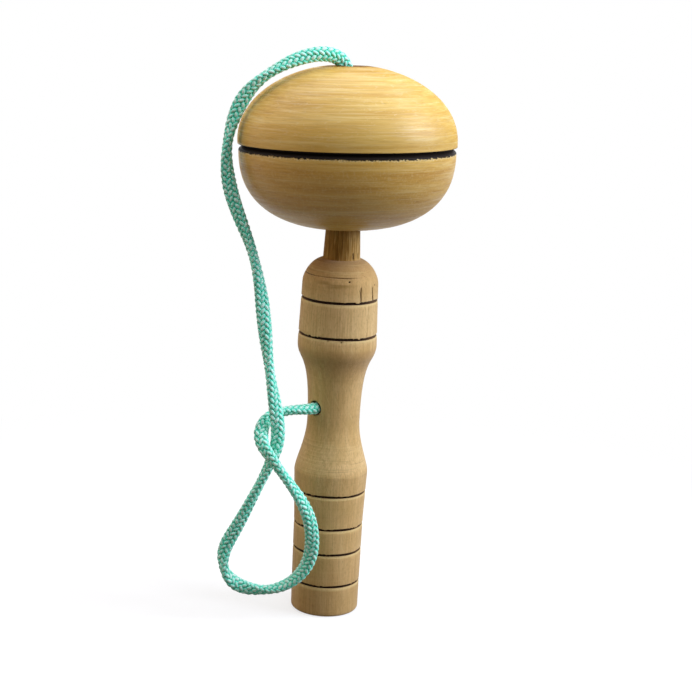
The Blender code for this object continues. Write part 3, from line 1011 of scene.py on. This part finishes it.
# %% Layers of bare wood
BARE_GRAIN, BARE_PITCH = {"Along": 26.0, "Across": 2.6, "Through": 2.6}, 0.5
BARE_STREAKS = (
    (0.28, (0.602, 0.376, 0.146)), (0.50, (0.697, 0.455, 0.192)), (0.74, (0.748, 0.516, 0.240)),
)
PEG_STREAKS = (
    (0.30, (0.285, 0.140, 0.025)), (0.47, (0.475, 0.260, 0.063)), (0.68, (0.770, 0.525, 0.215)),
)
# painted light: the peg is lighter towards its right side and its left edge than in its middle
PEG_RIGHT_PAINTED_LIGHT, PEG_LEFT_PAINTED_LIGHT = ("x", -1.0, 6.0, -0.09, 0.07), ("x", -6.5, -2.0, 0.09, 0.00)
# scale, detail, roughness, distortion, size
BARE_NOISES = {
    "blotch": (0.07, 4.0, 0.6),
    "fuzz": (1.0, 2.0, 0.6, 0.0, (0.7, 0.7, 1.3)),
    "crumble": (2.3, 3.0, 0.6),
}
SLANTED_NOISES, SCUFF_SLANT = {"scuff": (1.0, 2.0, 0.5, 0.0, (9.0, 0.5, 6.0))}, math.radians(24)
RINGED_SHOULDER = ("height", SHOULDER_LINE_HEIGHT - 1.0, SHOULDER_LINE_HEIGHT + 1.0)
RINGED_COVE = (("height", RIM_HEIGHT, RIM_HEIGHT + 0.8), ("height", 66.0, 80.0, 1.0, 0.0))
RINGED_EVERYWHERE, CRUMBLE_MM = 0.22, 0.20
# a paler colour: laid on the barrel, and as painted light in the cove, and weaker in the blotches
PALER_TONE_AND_PAINTED_LIGHT, PALER_IN_BLOTCHES = (0.805, 0.580, 0.288), ("blotch", 0.42, 0.66, 1.00, 0.45)
# the first brown here is laid on as painted shade; the second is the colour of the burnt lines
PAINTED_SHADE_BROWN, SINGED = (0.420, 0.232, 0.086), (0.100, 0.048, 0.016)
CHAR = {"charred": ((0.030, 0.013, 0.005), ("burn", 0.35, 0.9))}
BARE_LAYERS = {
    "blotches": ((0.550, 0.360, 0.124), ("blotch", 0.40, 0.68, 0.00, 0.40)),
    # the barrel is paler all round
    "fresh barrel": (
        PALER_TONE_AND_PAINTED_LIGHT, ("height", 114.5, 118.5, 0.00, 0.46), ("height", 134.0, 138.5, 1.0, 0.0),
        PALER_IN_BLOTCHES,
    ),
    # painted light: the cove faces up to the lamps and is painted paler
    "fresh cove": (
        PALER_TONE_AND_PAINTED_LIGHT, ("height", 60.0, 64.0, 0.00, 0.50), ("height", 70.0, 76.0, 1.0, 0.0),
        PALER_IN_BLOTCHES,
    ),
    "fuzz": ((0.400, 0.248, 0.080), ("fuzz", 0.48, 0.72, 0.00, 0.34)),
    "fibres": ((0.400, 0.243, 0.078), ("fibre", 0.34, 0.60, 0.34, 0.00)),
    "pores": ((0.300, 0.185, 0.062), ("pore", 0.0, 1.0, 0.00, 0.28, LINEAR)),
    "scuffs": ((0.790, 0.610, 0.290), ("scuff", 0.60, 0.74, 0.00, 0.30)),
    # painted shade: the grip darker towards the foot, the shoulder darker under the head and the
    # flare darker under the barrel
    "held grip": (PAINTED_SHADE_BROWN, ("height", 4.0, 46.0, 0.22, 0.00)),
    "held shoulder": (PAINTED_SHADE_BROWN, ("height", 138.0, 150.0, 0.00, 0.60)),
    "under barrel": (
        PAINTED_SHADE_BROWN, ("height", 98.0, 108.0, 0.00, 0.36), ("height", 112.5, 115.0, 1.0, 0.0),
    ),
    "dark rings": ((0.340, 0.215, 0.080), ("line",), ("ringed", 0.0, 1.0, 0.00, 0.34, LINEAR)),
    "pale rings": ((0.760, 0.575, 0.260), ("ridge", 0.52, 0.70, 0.00, 0.45), ("ringed",)),
    "peg": ("peg wood with painted side light", ("height", PEG_ROOT - 0.5, PEG_ROOT + 0.4)),
    # painted highlight: the lip below each burnt line, which faces up to the lamps, is painted pale
    "pale lips": ((0.800, 0.615, 0.290), ("lip",), ("crumble", 0.3, 0.7, 0.45, 0.95)),
    "torn patch": ((0.350, 0.212, 0.062), ("torn", 0.0, 1.0, 0.00, 0.70, LINEAR)),
    "burnt cuts": ("char", ("ragged cut", 0.10, 0.30)),
}
BARE_RELIEF = (("fibre", 0.6), ("ringed ridge", 1.6), ("pore", -0.5))
print("bare wood has", len(BARE_LAYERS), "layers")


# %% Bare wood
def bare_wood():
    """Matte turned wood with grain up the axis, burnt lines and a browner peg."""
    material, nodes, shader, place = new_finish("bare_wood")
    values = nodes.values
    x, y, height = nodes.node("SeparateXYZ", {0: place}).outputs
    values |= {"x": x, "height": height}
    upright = nodes.vector(height, x, y)
    keep_wood(nodes, place, upright, BARE_GRAIN, BARE_PITCH)
    turned = {"Vector": upright, "Angle": SCUFF_SLANT}
    slanted = nodes.node("VectorRotate", turned, rotation_type="Z_AXIS").outputs[0]
    nodes.keep_noises(place, BARE_NOISES)
    nodes.keep_noises(slanted, SLANTED_NOISES)
    nodes.keep_stored("cut", "lip", "torn", "burn")
    ringed = nodes.sums("ADD", nodes.mask(RINGED_SHOULDER), nodes.mask(*RINGED_COVE), clamp=True)
    values["ringed"] = nodes.sums("ADD", ringed, RINGED_EVERYWHERE, clamp=True)
    values["ringed ridge"] = nodes.mask(("ridge",), ("ringed",))
    # painted light: the peg's streaks shift lighter towards the right side and the left edge
    painted_side_light = nodes.sums("ADD", nodes.mask(PEG_RIGHT_PAINTED_LIGHT), nodes.mask(PEG_LEFT_PAINTED_LIGHT))
    values["peg wood with painted side light"] = nodes.shades(nodes.sums("ADD", values["fibre"], painted_side_light), PEG_STREAKS)
    values["char"] = nodes.layered(SINGED, CHAR)
    values["ragged cut"] = nodes.shaken("cut", "crumble", CRUMBLE_MM)
    relief = {"Strength": 0.5, "Distance": 0.00012, "Height": nodes.weighted(*BARE_RELIEF)}
    nodes.fill(shader, {
        "Base Color": nodes.layered(nodes.shades(values["streak"], BARE_STREAKS), BARE_LAYERS),
        "Roughness": nodes.mask(("streak", 0.3, 0.7, 0.86, 0.74, LINEAR)),
        "Specular IOR Level": 0.05,
        "Sheen Weight": 0.30,
        "Sheen Roughness": 0.45,
        "Normal": nodes.node("Bump", relief).outputs[0],
    })
    return material


BARE_WOOD = bare_wood()
handle.data.materials.clear()
handle.data.materials.append(BARE_WOOD)
print("bare wood:", len(BARE_WOOD.node_tree.nodes), "nodes")

# %% [markdown]
# ## Lacquered wood
# The head's grain lies across the axis, so its streaks run level round it. Clear lacquer makes it
# golden and gives it broad soft highlights. The groove is painted black: the paint stops dead at
# the upper edge and creeps unevenly over the lower one, and below it pale crumbs of wood show, with
# that band painted paler as a painted highlight on the lip. The lower half is painted darker as
# painted shade. Round the cord's hole the wood has gone brown. Heights are measured from the middle
# of the groove.

# %% Layers of lacquered wood
GOLDEN_GRAIN, GOLDEN_PITCH = {"Along": 46.0, "Across": 2.4, "Through": 22.0}, 0.7
GOLDEN_STREAKS = (
    (0.30, (0.545, 0.305, 0.056)), (0.45, (0.672, 0.414, 0.086)),
    (0.57, (0.745, 0.500, 0.130)), (0.72, (0.815, 0.620, 0.255)),
)
# scale, detail, roughness, distortion, size
GOLDEN_NOISES = {
    "stripe": (1.0, 3.0, 0.55, 0.5, (60.0, 40.0, 9.0)),
    "silk": (1.0, 2.0, 0.5, 0.4, (30.0, 24.0, 0.55)),
    "wisp": (1.0, 3.0, 0.5, 1.6, (16.0, 16.0, 2.2)),
    "speck": (1.1, 2.0, 0.6),
    "blot": (0.30, 3.0, 0.6),
    "creep": (1.15, 5.0, 0.74),
    "crumb": (2.4, 2.0, 0.5),
}
BLOT_MM, CREEP_MM, CRUMB_MM = 7.0, 2.8, 1.4
GOLDEN_MASKS = {
    # painted shade: this mask darkens the lower half below the groove, which faces away from the
    # lamps
    "painted shade below groove": (("level", -8.0, -1.0, 1.0, 0.30), ("level", -1.2, -0.8, 1.0, 0.0)),
    "stain": (("ragged radius", 8.0, 12.5, 0.9, 0.0), ("level", 18.0, 22.0)),
    "paint": (("ragged level", -1.62, -1.52), ("level", 1.24, 1.30, 1.0, 0.0)),
    "worn": (("facing", 0.35, 0.85), ("level", -3.0, 5.0, 0.35, 1.0)),
    "stain is matt": (("stain", 0.0, 1.0, 0.0, 0.8, LINEAR),),
}
GOLDEN_LAYERS = {
    "stripes": ((0.545, 0.330, 0.072), ("stripe", 0.42, 0.66, 0.00, 0.35)),
    "fibres": ((0.400, 0.220, 0.040), ("fibre", 0.34, 0.58, 0.26, 0.00)),
    "pores": ((0.300, 0.150, 0.028), ("pore", 0.0, 1.0, 0.00, 0.22, LINEAR)),
    "silk": ((0.860, 0.710, 0.345), ("silk", 0.54, 0.70, 0.00, 0.32)),
    "wisps": ((0.840, 0.710, 0.410), ("wisp line", 0.0, 0.018, 0.24, 0.00)),
    # painted shade, multiplied over the lower half
    "painted shade on lower half": ((0.800, 0.725, 0.650), ("painted shade below groove",)),
    "above groove": (
        (0.400, 0.215, 0.040), ("level", 1.2, 9.0, 0.22, 0.00), ("level", 0.0, 1.0),
    ),
    # the specks show only in the lower half that is painted darker
    "specks": ((0.690, 0.520, 0.230), ("speck", 0.50, 0.70, 0.00, 0.30), ("painted shade below groove",)),
    "low lines": ((0.260, 0.140, 0.040), ("line",), ("level", -24.0, -12.0, 0.36, 0.00)),
    "stain": ((0.150, 0.060, 0.015), ("stain",)),
    # pale crumbs of wood below the paint's ragged edge, with this band painted paler as a painted
    # highlight on the lip under the groove
    "crumbs": (
        (0.860, 0.690, 0.345), ("ragged level", -2.02, -1.80),
        ("ragged level", -1.62, -1.50, 1.0, 0.0), ("crumb", 0.42, 0.58, 0.25, 0.90),
    ),
    "paint": ((0.016, 0.012, 0.010), ("paint",)),
}
GOLDEN_RELIEF = (("fibre", 0.5), ("silk", 0.7), ("paint", 0.8))
print("lacquered wood has", len(GOLDEN_LAYERS), "layers")


# %% Lacquered wood
def lacquered_wood():
    """Golden wood under satin lacquer, with a black groove and a stain round the cord's hole."""
    material, nodes, shader, place = new_finish("lacquered_wood")
    values = nodes.values
    x, y, height = nodes.node("SeparateXYZ", {0: place}).outputs
    keep_wood(nodes, place, nodes.vector(x, height, y), GOLDEN_GRAIN, GOLDEN_PITCH)
    nodes.keep_noises(place, GOLDEN_NOISES)
    values["level"] = nodes.sums("SUBTRACT", height, HEAD_MIDDLE)
    values["radius"] = nodes.length(nodes.vector(x, y, 0.0))
    values["ragged radius"] = nodes.shaken("radius", "blot", BLOT_MM)
    values["crept level"] = nodes.shaken("level", "creep", CREEP_MM)
    values["ragged level"] = nodes.shaken("crept level", "crumb", CRUMB_MM)
    values["wisp line"] = nodes.sums("ABSOLUTE", nodes.sums("SUBTRACT", values["wisp"], 0.5))
    values["facing"] = nodes.node("LayerWeight", {"Blend": 0.5}).outputs["Facing"]
    for title, spans in GOLDEN_MASKS.items():
        values[title] = nodes.mask(*spans)
    matt = nodes.sums("MAXIMUM", values["paint"], values["stain is matt"])
    values["matt"] = nodes.sums("MAXIMUM", matt, values["worn"])
    relief = {"Strength": 0.40, "Distance": 0.00010, "Height": nodes.weighted(*GOLDEN_RELIEF)}
    nodes.fill(shader, {
        "Base Color": nodes.layered(nodes.shades(values["streak"], GOLDEN_STREAKS), GOLDEN_LAYERS),
        "Roughness": nodes.mask(("silk", 0.35, 0.65, 0.52, 0.36, LINEAR)),
        "Specular IOR Level": nodes.mask(("matt", 0.0, 1.0, 0.30, 0.03)),
        "Specular Tint": (1.0, 0.98, 0.95),
        "Coat Weight": nodes.mask(("matt", 0.0, 1.0, 0.08, 0.0)),
        "Coat Roughness": 0.28,
        "Normal": nodes.node("Bump", relief).outputs[0],
    })
    return material


LACQUERED_WOOD = lacquered_wood()
head.data.materials.append(LACQUERED_WOOD)
head.data.materials.append(BARE_WOOD)
bell_bottom = (HEAD_MIDDLE + bell_rise) * MM
for polygon in head.data.polygons[inner_faces:]:
    polygon.material_index = 1 if polygon.center.z < bell_bottom else 0
print("lacquered wood:", len(LACQUERED_WOOD.node_tree.nodes), "nodes")

# %% [markdown]
# ## Green braid
# The cord is spun from shiny man-made filament, sea green and a little uneven from strand to
# strand, and fine lines run along each strand. The mesh says how far across its strand and how far
# along the cord a point lies, which places those lines however the cord bends. The tops of the
# strands are painted pale as painted glints, and their sides and the places where they dive are
# painted darker as painted shade.

# %% Green braid
# from painted shade where strands dive to a painted glint on the strand tops
BRAID_RAMP_WITH_PAINTED_LIGHT = (
    (0.06, (0.012, 0.380, 0.235)), (0.34, (0.050, 0.620, 0.430)),
    (0.64, (0.130, 0.830, 0.630)), (0.86, (0.700, 1.000, 0.900)),
)
# filament cells across a strand, per millimetre along it, and from strand to strand
FILAMENT_CELLS = (("strand_edge", 3.4), ("strand_reach", 0.22), ("strand_tone", 40.0))
FILAMENT_NOISE, PATCH_NOISE = {"filament": (1.0, 3.0, 0.6)}, {"patch": (0.10, 2.0, 0.5)}
# crown adds a painted glint on strand tops, and side takes off painted shade along strand edges
BRAID_TONES_AND_PAINTED_LIGHT = (("filament", 0.30), ("strand_tone", 0.16), ("crown", 0.62), ("side", -0.186))
CORD_END_MM = CORD_LENGTH / MM
BRAID_LAYERS = {
    "patches": ((0.130, 0.700, 0.500), ("patch", 0.35, 0.7, 0.0, 0.20)),
    # painted shade: the cord is painted nearly black where it goes into the handle's hole
    "in hole": (
        (0.004, 0.030, 0.018), ("strand_reach", CORD_END_MM - 11.5, CORD_END_MM - 8.5, 0.0, 0.85),
    ),
}


def green_braid():
    """Shiny green filament with painted glints on strand tops, and painted shade where a strand
    dives, along strand sides and in the handle's hole.
    """
    material, nodes, shader, place = new_finish("green_braid")
    values = nodes.values
    nodes.keep_stored("strand_tone", "strand_edge", "strand_reach", "strand_lift")
    cells = nodes.vector(*(nodes.weighted(cell) for cell in FILAMENT_CELLS))
    nodes.keep_noises(cells, FILAMENT_NOISE)
    nodes.keep_noises(place, PATCH_NOISE)
    # crown is a painted glint on each strand's top, and side a painted shade along its edges
    values["crown"] = nodes.mask(("strand_lift", 0.30, 0.95))
    values["side"] = nodes.sums("ABSOLUTE", values["strand_edge"])
    colour = nodes.shades(nodes.weighted(*BRAID_TONES_AND_PAINTED_LIGHT), BRAID_RAMP_WITH_PAINTED_LIGHT)
    relief = {"Strength": 0.5, "Distance": 0.00010, "Height": values["filament"]}
    nodes.fill(shader, {
        "Base Color": nodes.layered(colour, BRAID_LAYERS),
        "Roughness": nodes.mask(("filament", 0.3, 0.7, 0.36, 0.26, LINEAR)),
        "Specular IOR Level": nodes.mask(("strand_lift", 0.4, 0.9, 0.0, 0.14)),
        "Normal": nodes.node("Bump", relief).outputs[0],
    })
    return material


GREEN_BRAID = green_braid()
cord.data.materials.append(GREEN_BRAID)
knot.data.materials.append(GREEN_BRAID)
print("green braid:", len(GREEN_BRAID.node_tree.nodes), "nodes")

# %% [markdown]
# ## Floor and white surround
# The toy stands on a pale floor in a white room. The camera sees both as white, apart from the soft
# shadow round the foot. Rays that light the toy find a dim, warm surround instead, so that the side
# turned away from the lamps stays deep in colour.

# %% Stage
FLOOR_NOISE = (0.003, 2.0)
FLOOR_SHADES = ((0.3, (0.345, 0.345, 0.343)), (0.7, (0.355, 0.355, 0.353)))
FLOOR_GLOW, SHADOW_REACH_MM = 0.66, (100.0, 320.0)
WHITE, DIM_FLOOR = (1.0, 1.0, 1.0), (0.16, 0.14, 0.11)
DIM_WORLD, DIM_STRENGTH = (1.0, 0.75, 0.47), 0.075


def white_for_the_eye(nodes, dim, white):
    """White where a ray comes from the camera, by a reflection or through glass, and else dim."""
    path = nodes.node("LightPath").outputs
    seen = nodes.sums("ADD", path["Is Camera Ray"], path["Is Glossy Ray"], clamp=True)
    seen = nodes.sums("ADD", seen, path["Is Transmission Ray"], clamp=True)
    return nodes.node("MixShader", {0: seen, 1: dim.outputs[0], 2: white.outputs[0]}).outputs[0]


def floor_finish():
    """Pale floor that keeps the toy's shadow and goes over to plain white away from the toy."""
    material, nodes, shader, place = new_finish("pale_floor")
    nodes.fill(shader, {
        "Base Color": nodes.shades(nodes.noise(place, *FLOOR_NOISE), FLOOR_SHADES),
        "Roughness": 0.9,
        "Specular IOR Level": 0.0,
    })
    glow = nodes.node("Emission", {"Color": WHITE, "Strength": FLOOR_GLOW})
    near = nodes.node("AddShader", {0: shader.outputs[0], 1: glow.outputs[0]})
    white = nodes.node("Emission", {"Color": WHITE, "Strength": 1.0})
    away = nodes.span(nodes.length(place), *SHADOW_REACH_MM)
    seen = nodes.node("MixShader", {0: away, 1: near.outputs[0], 2: white.outputs[0]})
    dim = nodes.node("BsdfDiffuse", {"Color": DIM_FLOOR})
    surface = white_for_the_eye(nodes, dim, seen)
    nodes.fill(nodes.tree.nodes["Material Output"], {"Surface": surface})
    return material


bpy.ops.mesh.primitive_grid_add(x_subdivisions=24, y_subdivisions=24, size=6.0)
floor = bpy.context.object
floor.name = "pale_floor"
floor.data.materials.append(floor_finish())

world = bpy.data.worlds.new("white_room")
world.use_nodes = True
bpy.context.scene.world = world
sky = Nodes(world.node_tree)
dim = sky.fill(sky.tree.nodes["Background"], {"Color": DIM_WORLD, "Strength": DIM_STRENGTH})
bright = sky.node("Background", {"Color": WHITE, "Strength": 1.0})
sky.fill(sky.tree.nodes["World Output"], {"Surface": white_for_the_eye(sky, dim, bright)})
print("floor and world ready")

# %% [markdown]
# ## Lamps
# Area lamps are softboxes. The main one stands on the right, about thirty degrees up and a little
# in front, so the right sides are bright and the fronts fall off into shade. A very wide one
# straight above lights the crown and makes only soft shadows, and a weak warm one on the left fills
# in. A surface turned to the main lamp shows about its own colour.

# %% Lamps
TOY_MIDDLE = Vector((0, 0, 0.13))
LAMPS = (
    # name, direction from the toy, distance, width, power, colour
    ("main_softbox", (0.87, -0.09, 0.48), 0.95, 0.60, 10.6, (0.82, 0.88, 1.00)),
    ("top_softbox", (0.02, -0.02, 1.00), 0.95, 2.20, 22.0, (0.88, 0.91, 1.00)),
    ("left_softbox", (-0.93, 0.00, 0.36), 1.00, 1.00, 2.8, (1.00, 0.68, 0.44)),
)
for name, direction, distance, width, power, colour in LAMPS:
    light = bpy.data.lights.new(name, "AREA")
    light.shape = "SQUARE"
    light.size = width
    light.energy = power
    light.color = colour
    lamp = bpy.data.objects.new(name, light)
    bpy.context.scene.collection.objects.link(lamp)
    lamp.location = TOY_MIDDLE + Vector(direction).normalized() * distance
    lamp.rotation_euler = (lamp.location - TOY_MIDDLE).to_track_quat("Z", "Y").to_euler()
bpy.context.scene.view_settings.view_transform = "Standard"
print("lamps:", [lamp[0] for lamp in LAMPS])
